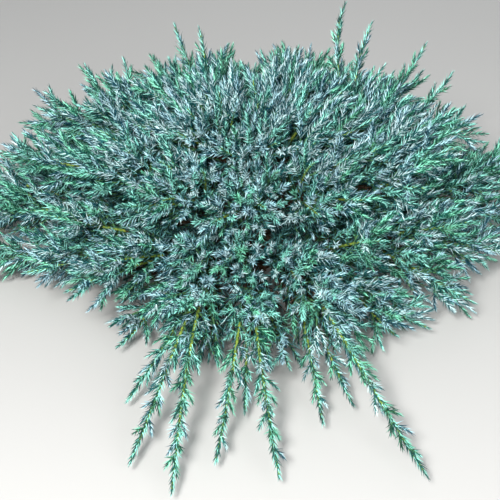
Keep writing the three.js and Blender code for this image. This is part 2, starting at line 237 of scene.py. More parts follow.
flare_rings = np.linspace(0, FLARE_HEIGHT, FLARE_RINGS)
shaft_rings = np.linspace(FLARE_HEIGHT + SHAFT_START, STEM_HEIGHT, SHAFT_RINGS)
stem_rings = np.concatenate([flare_rings, shaft_rings])
stem_centres = [stem_centre(height) for height in stem_rings]
stem_centres += [stem_centre(STEM_HEIGHT) + (0, 0, rise) for rise, _ in STEM_DOME]
narrowing = [1.0] * len(stem_rings) + [share for _, share in STEM_DOME]


def stem_ring_radius(i, angle):
    return stem_radius(min(stem_centres[i][2], STEM_HEIGHT), angle) * narrowing[i]


bark = bark_finish()
stem_wood = Wood()
stem_wood.limb(stem_centres, stem_ring_radius, STEM_SIDES, offset=0, relief=STEM_RELIEF, level=True)
stem = stem_wood.piece("stem_with_flaky_bark", bark)
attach(stem, "root")
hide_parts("stem")

# Boughs
# Tapering limbs in three tiers, a low skirt, a middle and a crown. Each leaves the stem at its own
# height with a small collar and ends in a fork, where its plume of foliage begins.
SEED = 20417
MOUND_REACH = 340.0
MOUND_DRAWN_IN = 145.0  # how much nearer its edge is at the front
DRAWN_IN_POWER = 0.4
MOUND_HEIGHT = 188.0
MOUND_SLOPE_POWER = 0.45
ARCH_PULL = 0.36  # how far a path keeps its first and last heading, as a share of its span
BOUGH_STEEPER = 10  # how much steeper a bough leaves the stem than it reaches its fork
BOUGH_RINGS = 26
BOUGH_SIDES = 16
BOUGH_RELIEF = 0.7
BOUGH_END = SimpleNamespace(place=1.012, width=0.6)  # one ring more, just past the fork
COLLAR = SimpleNamespace(size=2.2, reach=9)

# A fork has its share of the mound's reach, its height, and how steeply the bough rises there. A
# radius is a bough's at the stem and at the fork. A fan has one row a leader: the turn from the
# plume's azimuth, the tip's place as a share of the mound's reach, its height over the mound's
# surface, and how steeply it rises.
SKIRT = SimpleNamespace(
    plumes=11,
    azimuths=(-44, 224),
    fork=(0.3, 46, 14),
    root_heights=(22, 34),
    radius=(3.6, 2.6),
    fan=[(-9, 1.02, 26, -4), (7, 0.98, 10, 4), (1, 0.86, -4, 20)],
)
MIDDLE = SimpleNamespace(
    plumes=9,
    first_azimuth=-90,
    fork=(0.25, 94, 32),
    root_heights=(48, 58, 68),
    radius=(3.9, 2.8),
    fan=[(-13, 0.74, -2, 14), (8, 0.71, 2, 18), (-5, 0.55, 2, 34), (14, 0.53, 0, 38)],
)
CROWN = SimpleNamespace(
    plumes=5,
    first_azimuth=-90,
    fork=(0.09, 120, 58),
    root_heights=(76, 86, 96),
    radius=(3.7, 2.7),
    fan=[(-22, 0.37, 0, 40), (18, 0.39, 4, 38), (0, 0.25, 6, 60), (30, 0.1, 10, 74)],
)
# The front plumes end in long runners that lie out over the ground: azimuth and reach of each tip.
FRONT = SimpleNamespace(
    runners=[
        [(-107, 345), (-100, 370), (-114, 270)],
        [(-95, 329), (-86, 348), (-91, 262)],
        [(-77, 285), (-67, 376), (-70, 268)],
    ],
    tip_height=12,
    tip_rise=-16,
    fork=(0.34, 56, 24),
    radius=(3.6, 2.6),
    fan=[(7, 1.15, 30, -4), (-4, 0.88, 2, 18)],
)
# Shoots that stand out above the mound: azimuth, reach and height of the tip.
STANDING_SHOOTS = [
    (54, 172, 238),
    (47, 192, 216),
    (37, 240, 190),
    (32, 262, 158),
    (120, 162, 214),
    (111, 152, 208),
]
STANDING_RISE = 52
# The chances that make the leaders of a fan differ from plume to plume.
TURN_CHANCE = (-3, 3)
REACH_CHANCE = (0.96, 1.04)
HEIGHT_CHANCE = (-5, 7)
RISE_CHANCE = (-6, 6)
LEAST_TIP_HEIGHT = 14
TIP_SPREAD = 1.5  # a leader's tip points this many of its turns away from the plume's azimuth


def seeded(seed):
    """A repeatable run of numbers between low and high."""
    state = seed % 2**32

    def draw(low, high):
        nonlocal state
        state = (state * 1664525 + 1013904223) % 2**32
        return low + (high - low) * state / 2**32

    return draw


def heading(azimuth, rise=0.0):
    a, r = math.radians(azimuth), math.radians(rise)
    return np.array([math.cos(a) * math.cos(r), math.sin(a) * math.cos(r), math.sin(r)])


def placed(azimuth, reach, height):
    return np.array([*(heading(azimuth) * reach)[:2], height])


def unit(vector):
    return vector / np.linalg.norm(vector)


class Bend:
    """A smooth path that three or four points pull into shape. A slim one carries short sprays."""

    SMALL_STEP = 1e-4
    STEPS = 200

    def __init__(self, *controls):
        self.controls = [np.asarray(control, float) for control in controls]
        self.tip = self.controls[-1]
        self.slim = False

    def at(self, share):
        share = np.asarray(share, float)[..., None]
        points = self.controls
        while len(points) > 1:
            points = [a + (b - a) * share for a, b in zip(points, points[1:])]
        return points[0]

    def direction(self, share):
        return unit(self.at(share + self.SMALL_STEP) - self.at(share - self.SMALL_STEP))

    def length(self):
        points = self.at(np.linspace(0, 1, self.STEPS + 1))
        return np.linalg.norm(np.diff(points, axis=0), axis=1).sum()


def arch(start, start_heading, end, end_heading):
    pull = np.linalg.norm(end - start) * ARCH_PULL
    return Bend(start, start + start_heading * pull, end - end_heading * pull, end)


def mound_reach(azimuth):
    return MOUND_REACH - MOUND_DRAWN_IN * max(0.0, -heading(azimuth)[1]) ** DRAWN_IN_POWER


def mound_height(share):
    return MOUND_HEIGHT * max(0.0, 1 - share**2) ** MOUND_SLOPE_POWER


def plan_plume(name, tier, azimuth, root_height, tips):
    """A bough to its fork, and leaders from there to their tips. Runners come before the fan."""
    reach, height, rise = tier.fork
    fork = placed(azimuth, reach * mound_reach(azimuth), height)
    at_fork = heading(azimuth, rise)
    plume = SimpleNamespace(name=name, radius=tier.radius)
    plume.leader_to = lambda tip, tip_heading: arch(fork, at_fork, tip, tip_heading)
    plume.bough = arch(stem_centre(root_height), heading(azimuth, rise + BOUGH_STEEPER), fork, at_fork)
    plume.leaders = [plume.leader_to(*tip) for tip in tips]
    for runner in plume.leaders[: len(tips) - len(tier.fan)]:
        runner.slim = True
    return plume


def fan_tips(tier, azimuth, draw):
    tips = []
    for turn, share, lift, rise in tier.fan:
        tip_azimuth = azimuth + turn + draw(*TURN_CHANCE)
        tip_share = share * draw(*REACH_CHANCE)
        height = mound_height(tip_share) + lift + draw(*HEIGHT_CHANCE)
        tip = placed(tip_azimuth, tip_share * mound_reach(tip_azimuth), max(height, LEAST_TIP_HEIGHT))
        tips.append((tip, heading(azimuth + turn * TIP_SPREAD, rise + draw(*RISE_CHANCE))))
    return tips


def root_height_at(tier, number):
    return tier.root_heights[number % len(tier.root_heights)]


def plan_skirt(draw):
    planned = []
    for runners in FRONT.runners:
        azimuth = sum(each for each, _ in runners) / len(runners)
        tips = [
            (placed(each, reach, FRONT.tip_height), heading(2 * each - azimuth, FRONT.tip_rise))
            for each, reach in runners
        ]
        planned.append((FRONT, azimuth, tips + fan_tips(FRONT, azimuth, draw)))
    for azimuth in np.linspace(*SKIRT.azimuths, SKIRT.plumes):
        planned.append((SKIRT, azimuth, fan_tips(SKIRT, azimuth, draw)))
    return [
        plan_plume(f"skirt_{i + 1}", tier, azimuth, root_height_at(SKIRT, i), tips)
        for i, (tier, azimuth, tips) in enumerate(planned)
    ]


def plan_tier(name, tier, draw):
    azimuths = [tier.first_azimuth + i * 360 / tier.plumes for i in range(tier.plumes)]
    return [
        plan_plume(f"{name}_{i + 1}", tier, azimuth, root_height_at(tier, i), fan_tips(tier, azimuth, draw))
        for i, azimuth in enumerate(azimuths)
    ]


planning = seeded(SEED)
plumes = plan_skirt(planning) + plan_tier("middle", MIDDLE, planning) + plan_tier("crown", CROWN, planning)
for azimuth, reach, height in STANDING_SHOOTS:
    tip = placed(azimuth, reach, height)
    bearer = min(plumes, key=lambda p: min(np.linalg.norm(leader.tip - tip) for leader in p.leaders))
    bearer.leaders.append(bearer.leader_to(tip, heading(azimuth, STANDING_RISE)))
    bearer.leaders[-1].slim = True

bough_rings = np.append(np.linspace(0, 1, BOUGH_RINGS), BOUGH_END.place)


def bough_radius(plume):
    """The bare size of a bough's rings, a plain taper from a collar at the stem."""
    thick, thin = plume.radius
    length = plume.bough.length()

    def at_ring(i, angle):
        share = bough_rings[i]
        collar = COLLAR.size * math.exp(-share * length / COLLAR.reach)
        return (thick + (thin - thick) * share + collar) * (BOUGH_END.width if i == BOUGH_RINGS else 1)

    return at_ring


bough_wood = Wood()
for number, plume in enumerate(plumes):
    bough_centres = list(plume.bough.at(bough_rings))
    bark_place = 10 + 3 * number  # so that no two boughs have the same bark
    bough_wood.limb(bough_centres, bough_radius(plume), BOUGH_SIDES, bark_place, BOUGH_RELIEF)
boughs = bough_wood.piece("boughs_with_flaky_bark", bark)
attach(boughs, "root")
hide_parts(*[f"bough_{plume.name}" for plume in plumes])

# Leaders, sprays and twigs
# From each fork a fan of leaders runs out to the edge of the plume. Side sprays leave them all
# round, and finer twigs leave the sprays. Old wood is brown, and the last years' growth is green.
GOLDEN_ANGLE = 137.508
UP = np.array([0, 0, 1.0])
SHOOT_RADII = {"leader": (2.3, 0.8), "spray": (1.2, 0.55), "twig": (0.8, 0.45)}  # foot and tip
LOWEST_FOLIAGE = 7.0
STEM_SPACE = SimpleNamespace(reach=24.0, height=STEM_HEIGHT + 6)
BOUGH_SPACE = 5.0
CHORDS = 8  # straight pieces that stand for a limb where nearness is measured

# Offshoots of one kind leave their parent at a spacing, up to a bare tip. Their lengths are those
# at its foot and at its tip. Openings are in degrees, and lift and forward bend them on their way.
# They are shrunk to the first of the sizes that keeps them, at the tested shares, in their space.
SPRAY_FIT = {"margin": 1.5, "sizes": (1, 0.85, 0.7, 0.55, 0.42, 0.32, 0.24), "tests": (0.35, 0.6, 0.8, 1)}
TWIG_FIT = {"margin": 0.5, "sizes": (1, 0.75, 0.55, 0.4), "tests": (0.6, 1)}
OUTER_SPRAYS = SimpleNamespace(
    spacing=13.5, lengths=(84.0, 30.0), bare_tip=34.0, openings=(38, 56), lift=0.05, forward=1.1, **SPRAY_FIT
)
INNER_SPRAYS = SimpleNamespace(
    spacing=8.5, lengths=(84.0, 34.0), bare_tip=20.0, openings=(32, 54), lift=0.12, forward=1.2, **SPRAY_FIT
)
BOUGH_SPRAYS = SimpleNamespace(
    spacing=6.0, lengths=(70.0, 60.0), bare_tip=0.0, openings=(50, 75), lift=0.12, forward=1.2, **SPRAY_FIT
)
TWIGS = SimpleNamespace(
    spacing=9.5, lengths=(33.0, 16.0), bare_tip=15.0, openings=(30, 44), lift=0.0, forward=1.2, **TWIG_FIT
)
PLACE_CHANCE = (0.25, 0.75)  # shares of the spacing
ROLL_CHANCE = (-18, 18)
LENGTH_CHANCE = (0.8, 1.12)
FIRST_LIFT = 0.5  # share of the lift that an offshoot has where it leaves
BEND_PLACE = 0.5
LEAST_TWIG = 9.0
BARE_BOUGH = 0.3  # share of a bough, from the stem, that carries nothing
SPRAY_SEED, FINER_SEED = SEED + 1, SEED + 1001
SLIM_FROM = 0.4  # share of a front runner or standing shoot past which its sprays are short
SLIM_SPRAY_SIZE = 0.36


def square_to(direction):
    side = unit(np.cross(direction, UP))
    return side, unit(np.cross(side, direction))


def chords_of(paths):
    points = [path.at(np.linspace(0, 1, CHORDS + 1)) for path in paths]
    starts = np.concatenate([each[:-1] for each in points])
    return starts, np.concatenate([each[1:] for each in points]) - starts


class Limbs:
    """Straight chords along the limbs of all plumes, to find the nearest of each plume."""

    def __init__(self, paths_by_plume):
        chords = [chords_of(paths) for paths in paths_by_plume]
        self.starts = np.concatenate([starts for starts, _ in chords])
        self.runs = np.concatenate([runs for _, runs in chords])
        self.firsts = np.cumsum([0] + [len(starts) for starts, _ in chords])[:-1]
        self.squares = (self.runs**2).sum(1)

    def distances(self, points):
        offsets = points[:, None] - self.starts
        shares = np.clip((offsets * self.runs).sum(2) / self.squares, 0, 1)
        gaps = np.linalg.norm(offsets - shares[..., None] * self.runs, axis=2)
        return np.minimum.reduceat(gaps, self.firsts, axis=1)


all_leaders = Limbs([plume.leaders for plume in plumes])
all_boughs = Limbs([[plume.bough] for plume in plumes])


def inside_space(number, points, margin):
    """Which points are nearer to their own plume's leaders than to others, and clear of the wood."""
    to_leaders, to_boughs = all_leaders.distances(points), all_boughs.distances(points)
    reach = to_leaders[:, number] + margin
    from_stem = np.hypot(points[:, 0], points[:, 1])
    return (
        (np.delete(to_leaders, number, axis=1).min(axis=1) > reach)
        & (to_boughs.min(axis=1) >= np.minimum(reach, BOUGH_SPACE + margin))
        & (points[:, 2] >= LOWEST_FOLIAGE + margin)
        & ((points[:, 2] >= STEM_SPACE.height) | (from_stem >= STEM_SPACE.reach))
    )


def side_plan(length, draw, kind):
    """Offshoots leave all round by the golden angle. They get shorter towards the tip."""
    count = int((length - kind.bare_tip) // kind.spacing)
    first, last = kind.lengths
    plan = []
    for i in range(count):
        share = (i + draw(*PLACE_CHANCE)) / count
        plan.append(
            SimpleNamespace(
                along=share * (1 - kind.bare_tip / length),
                roll=i * GOLDEN_ANGLE + draw(*ROLL_CHANCE),
                opening=draw(*kind.openings),
                length=(first + (last - first) * share) * draw(*LENGTH_CHANCE),
            )
        )
    return plan


def offshoot(parent, side, length, kind):
    """It opens from its parent, then bends forwards along it and up to the light."""
    forward = parent.direction(side.along)
    level, over = square_to(forward)
    roll, opening = math.radians(side.roll), math.radians(side.opening)
    away = over * math.cos(roll) + level * math.sin(roll)
    leaving = unit(forward * math.cos(opening) + away * math.sin(opening) + UP * kind.lift * FIRST_LIFT)
    ending = unit(leaving + forward * kind.forward + UP * kind.lift)
    root = parent.at(side.along)
    bend = root + leaving * length * BEND_PLACE
    return Bend(root, bend, bend + ending * length * (1 - BEND_PLACE))


def fitted(number, parent, side, kind):
    """The longest form of an offshoot that stays in its plume's space, or nothing."""
    for shrunk in kind.sizes:
        path = offshoot(parent, side, side.length * shrunk, kind)
        if inside_space(number, path.at(kind.tests), kind.margin).all():
            return path, side.length * shrunk
    return None, 0.0


shoots = []


def grow(path, length, rank):
    shoots.append(SimpleNamespace(path=path, length=length, rank=rank))


def grow_spray(number, parent, side, kind, draw):
    """A side spray and its twigs. Those on the open part of a slim leader are short."""
    if parent.slim and side.along > SLIM_FROM:
        side.length *= SLIM_SPRAY_SIZE
    path, length = fitted(number, parent, side, kind)
    if path is None:
        return
    grow(path, length, "spray")
    for small in side_plan(length, draw, TWIGS):
        twig, reach = fitted(number, path, small, TWIGS)
        if twig is not None and reach > LEAST_TWIG:
            grow(twig, reach, "twig")


for number, plume in enumerate(plumes):
    draw, finer = seeded(SPRAY_SEED + number), seeded(FINER_SEED + number)
    for leader in plume.leaders:
        length = leader.length()
        grow(leader, length, "leader")
        for side in side_plan(length, draw, OUTER_SPRAYS):
            grow_spray(number, leader, side, OUTER_SPRAYS, finer)
        for side in side_plan(length, finer, INNER_SPRAYS):
            grow_spray(number, leader, side, INNER_SPRAYS, finer)
    for side in side_plan(plume.bough.length(), finer, BOUGH_SPRAYS):
        if side.along > BARE_BOUGH:
            grow_spray(number, plume.bough, side, BOUGH_SPRAYS, finer)

# Light falls in from the sky and from all sides, and gets weaker where the shoots crowd. Where it is weak,
# shade is painted into the needles' colours.
CELL = 6.0
SIGHT = 66.0
DIMMING = 0.26
ROUND_ABOUT = [(azimuth, rise) for azimuth in range(0, 360, 45) for rise in (12, 42)]
WAYS_IN = ROUND_ABOUT + [(0, 90), (90, 70), (270, 70)]
LIGHT_SPACING = 5.0
LEAST_STATIONS = 3
LEAST_LIGHT = 0.03  # less than this, and the needles have died off
DEEP_LIGHT = 0.09  # less than this, and they get a very dark painted shade
DULL_LIGHT = 0.2  # less than this, and they get a dark painted shade
LIVE_SHARE = 0.9  # share of the least light that the outer half of a live shoot has
BARE_FOOT = {"leader": 0.35, "spray": 0.08, "twig": 0.05}  # share without needles
MOST_BARE = 0.7


def light_round(points, lengths):
    """The light at each point, from the lengths of shoot that stand round it."""
    low = points.min(0) - SIGHT - CELL
    shape = ((points.max(0) + SIGHT + CELL - low) / CELL).astype(int) + 1
    cells = tuple(((points - low) / CELL).astype(int).T)
    crowding = np.zeros(shape)
    np.add.at(crowding, cells, lengths)
    light = np.zeros(shape)
    for azimuth, rise in WAYS_IN:
        crossed = np.zeros(shape)
        for step in range(1, int(SIGHT / CELL) + 1):
            shift = tuple(np.rint(-heading(azimuth, rise) * step).astype(int))
            crossed += np.roll(crowding, shift, axis=(0, 1, 2))
        light += np.exp(-DIMMING * crossed) / len(WAYS_IN)
    return light[cells]


def last_below(shares, light, least, first):
    """The share of a shoot, not before first, up to which the light is less than least."""
    dim = shares[light < least]
    return max(first, dim[-1] if len(dim) else 0.0)


def evenly(first, last, count):
    return np.linspace(first, last, max(LEAST_STATIONS, count))


stations = [evenly(0, 1, round(shoot.length / LIGHT_SPACING) + 1) for shoot in shoots]
places = [shoot.path.at(shares) for shoot, shares in zip(shoots, stations)]
lengths = [np.full(len(shares), shoot.length / len(shares)) for shoot, shares in zip(shoots, stations)]
lit = light_round(np.concatenate(places), np.concatenate(lengths))
ends = np.cumsum([len(shares) for shares in stations])
for shoot, shares, light in zip(shoots, stations, np.split(lit, ends[:-1])):
    outer_light = light[len(light) // 2 :].mean()
    lively = light[-1] >= LEAST_LIGHT and outer_light >= LEAST_LIGHT * LIVE_SHARE
    shoot.live = shoot.rank == "leader" or lively
    shoot.bare = min(last_below(shares, light, LEAST_LIGHT, BARE_FOOT[shoot.rank]), MOST_BARE)
    # Up to these shares the needles get painted shade, very dark and then dark.
    shoot.deep = last_below(shares, light, DEEP_LIGHT, shoot.bare)
    shoot.dull = last_below(shares, light, DULL_LIGHT, shoot.deep)

POINTS_ALONG = {"leader": 18, "spray": 6, "twig": 4}
SIDES = {"leader": 6, "spray": 4, "twig": 3}
GREEN_FROM = 0.42  # share of a leader after which its bark is green
GREEN_OVERLAP = 0.01
WORKING_NAMES = ("radius", "lean", "size", "gap", "order", "bloom", "dark")


def paths_mesh(name, rows, values):
    """Open paths as edges. rows holds the points of each, and values a number for each point."""
    ends = np.cumsum([len(row) for row in rows])
    firsts = np.arange(ends[-1] - 1)
    firsts = firsts[~np.isin(firsts, ends[:-1] - 1)]
    mesh = bpy.data.meshes.new(name)
    mesh.vertices.add(int(ends[-1]))
    mesh.vertices.foreach_set("co", (np.concatenate(rows) * METRE).astype(np.float32).ravel())
    mesh.edges.add(len(firsts))
    mesh.edges.foreach_set("vertices", np.stack([firsts, firsts + 1], 1).astype(np.int32).ravel())
    for key, numbers in values.items():
        attribute = mesh.attributes.new(key, "FLOAT", "POINT")
        attribute.data.foreach_set("value", np.concatenate(numbers).astype(np.float32))
    mesh.update()
    return mesh


def new_tree(name, inputs):
    """A geometry tree with paths and the named inputs, and the node that gives them."""
    tree = bpy.data.node_groups.new(name, "GeometryNodeTree")
    tree.interface.new_socket("Geometry", in_out="OUTPUT", socket_type="NodeSocketGeometry")
    tree.interface.new_socket("Paths", in_out="INPUT", socket_type="NodeSocketGeometry")
    for socket_name, kind in inputs.items():
        tree.interface.new_socket(socket_name, in_out="INPUT", socket_type=kind)
    graph = Graph(tree)
    return graph, graph.add("NodeGroupInput")


def grown(name, mesh, graph, inputs):
    """The tree's result on a mesh of paths, as a plain piece at the origin."""
    carrier = bpy.data.objects.new(name + "_paths", mesh)
    bpy.context.scene.collection.objects.link(carrier)
    modifier = carrier.modifiers.new(name, "NODES")
    modifier.node_group = graph.tree
    for item in graph.tree.interface.items_tree:
        if item.name in inputs:
            modifier[item.identifier] = inputs[item.name]
    depsgraph = bpy.context.evaluated_depsgraph_get()
    result = bpy.data.meshes.new_from_object(carrier.evaluated_get(depsgraph), depsgraph=depsgraph)
    result.name = name
    bpy.data.objects.remove(carrier)
    piece = bpy.data.objects.new(name, result)
    bpy.context.scene.collection.objects.link(piece)
    for key in set(WORKING_NAMES) & set(result.attributes.keys()):
        result.attributes.remove(result.attributes[key])
    return piece


def named_number(graph, name):
    return graph.add("GeometryNodeInputNamedAttribute", {"data_type": "FLOAT"}, {"Name": name})


def twig_tree():
    graph, given = new_tree(
        "twigs", {"Radius Scale": "NodeSocketFloat", "Sides": "NodeSocketInt", "Bark": "NodeSocketMaterial"}
    )
    paths = graph.add("GeometryNodeMeshToCurve", None, {"Mesh": given.out("Paths")})
    ring = graph.add(
        "GeometryNodeCurvePrimitiveCircle", None, {"Resolution": given.out("Sides"), "Radius": 1.0}
    )
    radius = named_number(graph, "radius") * given.out("Radius Scale")
    tubes = graph.add(
        "GeometryNodeCurveToMesh",
        None,
        {"Curve": paths, "Profile Curve": ring, "Scale": radius, "Fill Caps": True},
    )
    whole = graph.add("GeometryNodeRealizeInstances", None, {"Geometry": tubes})
    dressed = graph.add("GeometryNodeSetMaterial", None, {"Geometry": whole, "Material": given.out("Bark")})
    graph.add("NodeGroupOutput", None, {0: dressed})
    return graph


def twig_finish(name, dark, light):
    material, graph = new_material(name)
    place = graph.add("ShaderNodeTexCoord").out("Object")
    speckle = graph.add("ShaderNodeTexNoise", None, {"Vector": place, "Scale": 420.0, "Detail": 3.0})
    colour = graph.add("ShaderNodeValToRGB", {"stops": [(0.35, dark), (0.65, light)]}, {"Fac": speckle})
    bump = graph.add("ShaderNodeBump", None, {"Strength": 0.4, "Distance": 0.0003, "Height": speckle})
    shader = graph.add(
        "ShaderNodeBsdfPrincipled",
        None,
        {"Base Color": colour, "Roughness": speckle * 0.25 + 0.5, "Normal": bump, "Specular IOR Level": 0.3},
    )
    graph.add("ShaderNodeOutputMaterial", None, {"Surface": shader})
    return material


def wood_spans(shoot):
    """The brown part and the green part of a shoot, as shares of its path."""
    if shoot.rank == "leader":
        return {"old_twigs": (0.0, GREEN_FROM), "green_twigs": (GREEN_FROM - GREEN_OVERLAP, 1.0)}
    return {"green_twigs" if shoot.live else "old_twigs": (0.0, 1.0)}


twig_graph = twig_tree()
foliage_nodes = [f"foliage_{plume.name}" for plume in plumes]
twig_barks = {
    "old_twigs": twig_finish("old_twig_bark", paint(38, 28, 20), paint(84, 64, 46)),
    "green_twigs": twig_finish("green_twig_bark", paint(48, 92, 62), paint(92, 136, 88)),
}
runner_bark = twig_finish("runner_bark", paint(88, 118, 44), paint(142, 158, 66))
for wood, twig_bark in twig_barks.items():
    for rank, sides in SIDES.items():
        rows, radii = [], []
        foot, tip = SHOOT_RADII[rank]
        for shoot in shoots:
            span = wood_spans(shoot).get(wood)
            if shoot.rank == rank and span:
                shares = np.linspace(*span, POINTS_ALONG[rank])
                rows.append(shoot.path.at(shares))
                radii.append((foot + (tip - foot) * shares) * METRE)
        name = f"{wood}_{rank}s"
        shown = runner_bark if name == "green_twigs_leaders" else twig_bark
        inputs = {"Radius Scale": 1.0, "Sides": sides, "Bark": shown}
        piece = grown(name, paths_mesh(name, rows, {"radius": radii}), twig_graph, inputs)
        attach(piece, "root")
        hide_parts(*foliage_nodes)

# Needles
# Stiff awl-shaped needles in whorls of three, turned from whorl to whorl. The flat inner face and
# one side of the keel have a waxy silver bloom, and the rest is blue-green. Old needles stand out.
# Where little light reaches a shoot, its needles get darker colours that are painted shade.
NEEDLE_LENGTH = 8.9 * METRE
NEEDLE_WIDTH = 1.9 * METRE
NEEDLE_THICKNESS = 1.0 * METRE
DARK_SHARE = 0.38  # share of the needles that show no bloom
WHORL_GAP = {"leader": 2.1, "spray": 2.3, "twig": 2.2}
SHADED_GAP = 5.0
WHORL_TURN = 63  # degrees from one whorl to the next
ROLL_ASTRAY = 0.25
LEAN_ASTRAY = 0.16
NEEDLE_SIZES = (0.85, 1.12)
ROLL_SEED, LEAN_SEED, SIZE_SEED, DARK_SEED = 0, 10, 20, 30
TINT_SEED, TINT_SEED_STEP = SEED + 5000, 100
BLOOM_ROUGHNESS, BACK_ROUGHNESS = 0.4, 0.3
DEEPER, PALER = 0.78, 1.22  # how far a tint drifts
# Each tint is the bloom's colour and the back's.
TINTS = {
    "silver": ((206, 236, 244), (28, 90, 94)),
    "blue": ((186, 228, 242), (16, 70, 84)),
    "teal": ((158, 234, 219), (13, 78, 72)),
    "fresh": ((144, 228, 197), (18, 86, 66)),
    "pine": ((118, 204, 175), (14, 72, 57)),
    # The last two tints are painted shade, for the dim parts of shoots.
    "shade": ((120, 184, 184), (9, 52, 54)),
    "deep": ((84, 140, 140), (6, 36, 38)),
}
SHADED_TINTS = ("shade", "deep")  # needles of the shaded part of a shoot, further apart, in colours of painted shade
# The tints of the lit part, each with the chance below which a shoot gets it.
OUTER_TINTS = [("silver", 0.3), ("blue", 0.55), ("teal", 0.82), ("fresh", 1.02), ("pine", 9.0)]
# Further out and further back the tints get greener, the plant's own colour, and darker, which is painted
# shade.
GREENER_AND_SHADED_OUTWARDS = 0.5
GREENER_AND_SHADED_BACKWARDS = 0.6
MIDWAY = 0.5  # share of the mound's reach at which the chances are as they stand
# The degrees by which needles lean off: at the tip, more over the young stretch, and a little more
# over the old one. They are smaller at the tip. Stretches run on from the tip.
TIP_LEAN, YOUNG_LEAN, OLD_LEAN = 12, 24, 8
YOUNG_STRETCH, OLD_STRETCH = 14, 40
YOUNG_POWER = 0.7
LEADER_LEAN = 0.78  # share of the lean of other shoots
TIP_SIZE, SIZE_GAIN, LEADER_SIZE_GAIN = 0.76, 0.24, 0.06
SMALL_STRETCH = 8
LEAST_NEEDLED = 4  # a shorter part of a shoot carries no needles
NEEDLED_SPACING = 7


def needle_tree():
    graph, given = new_tree(
        "needles",
        {
            "Length": "NodeSocketFloat",
            "Width": "NodeSocketFloat",
            "Thickness": "NodeSocketFloat",
            "Dark Share": "NodeSocketFloat",
            "Seed": "NodeSocketInt",
            "Bloom": "NodeSocketMaterial",
            "Back": "NodeSocketMaterial",
        },
    )

    def kept(geometry, name, value, data_type, domain):
        settings = {"data_type": data_type, "domain": domain}
        inputs = {"Geometry": geometry, "Name": name, "Value": value}
        return graph.add("GeometryNodeStoreNamedAttribute", settings, inputs)

    def chance(low, high, turn):
        inputs = {2: low, 3: high, "Seed": given.out("Seed") + turn}
        return graph.add("FunctionNodeRandomValue", {"data_type": "FLOAT"}, inputs).out(1)

    def turned(rotation, axis, angle):
        by = graph.add("FunctionNodeAxisAngleToRotation", None, {"Axis": axis, "Angle": angle})
        inputs = {"Rotation": rotation, "Rotate By": by}
        return graph.add("FunctionNodeRotateRotation", {"rotation_space": "LOCAL"}, inputs)

    def flag(name):
        return graph.add("GeometryNodeInputNamedAttribute", {"data_type": "BOOLEAN"}, {"Name": name})

    cone = graph.add(
        "GeometryNodeMeshCone",
        {"fill_type": "NGON"},
        {"Vertices": 3, "Radius Top": 0.0, "Radius Bottom": 1.0, "Depth": 1.0},
    )
    normal = graph.add("GeometryNodeInputNormal").out("True Normal")
    outwards = graph.add("ShaderNodeSeparateXYZ", None, {0: normal}).out("X")
    sideways = graph.add("ShaderNodeSeparateXYZ", None, {0: normal}).out("Y")
    # The inner face points to -X, and the side of the keel that has the bloom to +Y.
    bloomed = graph.math("LESS_THAN", outwards, -0.5) + graph.math("GREATER_THAN", sideways, 0.5)
    marked = kept(cone, "bloom", bloomed, "BOOLEAN", "FACE")
    # A three-sided cone of radius 1 is 1.5 thick and 3**0.5 wide.
    size = graph.add(
        "ShaderNodeCombineXYZ",
        None,
        {0: given.out("Thickness") * (2 / 3), 1: given.out("Width") * 3**-0.5, 2: given.out("Length")},
    )
    needle = graph.add("GeometryNodeTransform", None, {"Geometry": marked, "Scale": size})

    paths = graph.add("GeometryNodeMeshToCurve", None, {"Mesh": given.out("Paths")})
    gap = named_number(graph, "gap")
    whorls = graph.add("GeometryNodeResampleCurve", {"mode": "LENGTH"}, {"Curve": paths, "Length": gap})
    order = graph.add("GeometryNodeSplineParameter").out("Index")
    ordered = kept(whorls, "order", order, "FLOAT", "POINT")
    points = graph.add("GeometryNodeCurveToPoints", {"mode": "EVALUATED"}, {"Curve": ordered})
    needles = graph.add("GeometryNodeJoinGeometry")
    for k in range(3):
        whorl_turn = named_number(graph, "order") * math.radians(WHORL_TURN)
        roll = whorl_turn + math.radians(120 * k) + chance(-ROLL_ASTRAY, ROLL_ASTRAY, ROLL_SEED + k)
        lean = named_number(graph, "lean") + chance(-LEAN_ASTRAY, LEAN_ASTRAY, LEAN_SEED + k)
        rotation = turned(turned(points.out("Rotation"), (0, 0, 1), roll), (0, 1, 0), lean)
        scale = named_number(graph, "size") * chance(*NEEDLE_SIZES, SIZE_SEED + k)
        placed_needles = graph.add(
            "GeometryNodeInstanceOnPoints",
            None,
            {"Points": points, "Instance": needle, "Rotation": rotation, "Scale": scale},
        )
        dark = graph.math("LESS_THAN", chance(0.0, 1.0, DARK_SEED + k), given.out("Dark Share"))
        dealt = kept(placed_needles, "dark", dark, "BOOLEAN", "INSTANCE")
        graph.tree.links.new(dealt.socket, needles.socket.node.inputs[0])
    whole = graph.add("GeometryNodeRealizeInstances", None, {"Geometry": needles})
    backed = graph.add("GeometryNodeSetMaterial", None, {"Geometry": whole, "Material": given.out("Back")})
    dressed = graph.add(
        "GeometryNodeSetMaterial",
        None,
        {"Geometry": backed, "Selection": flag("bloom") - flag("dark"), "Material": given.out("Bloom")},
    )
    graph.add("NodeGroupOutput", None, {0: dressed})
    return graph


def needle_finish(name, colour, roughness):
    """A plain colour with slight changes from spray to spray, and a soft waxy gloss."""
    material, graph = new_material(name)
    place = graph.add("ShaderNodeTexCoord").out("Object")
    drift = graph.add("ShaderNodeTexNoise", None, {"Vector": place, "Scale": 45.0, "Detail": 2.0})
    deeper = tuple(value * DEEPER for value in colour)
    paler = tuple(min(1.0, value * PALER) for value in colour)
    shown = graph.add("ShaderNodeValToRGB", {"stops": [(0.36, deeper), (0.64, paler)]}, {"Fac": drift})
    shader = graph.add(
        "ShaderNodeBsdfPrincipled",
        None,
        {"Base Color": shown, "Roughness": drift * 0.2 + roughness, "Specular IOR Level": 0.5},
    )
    graph.add("ShaderNodeOutputMaterial", None, {"Surface": shader})
    return material


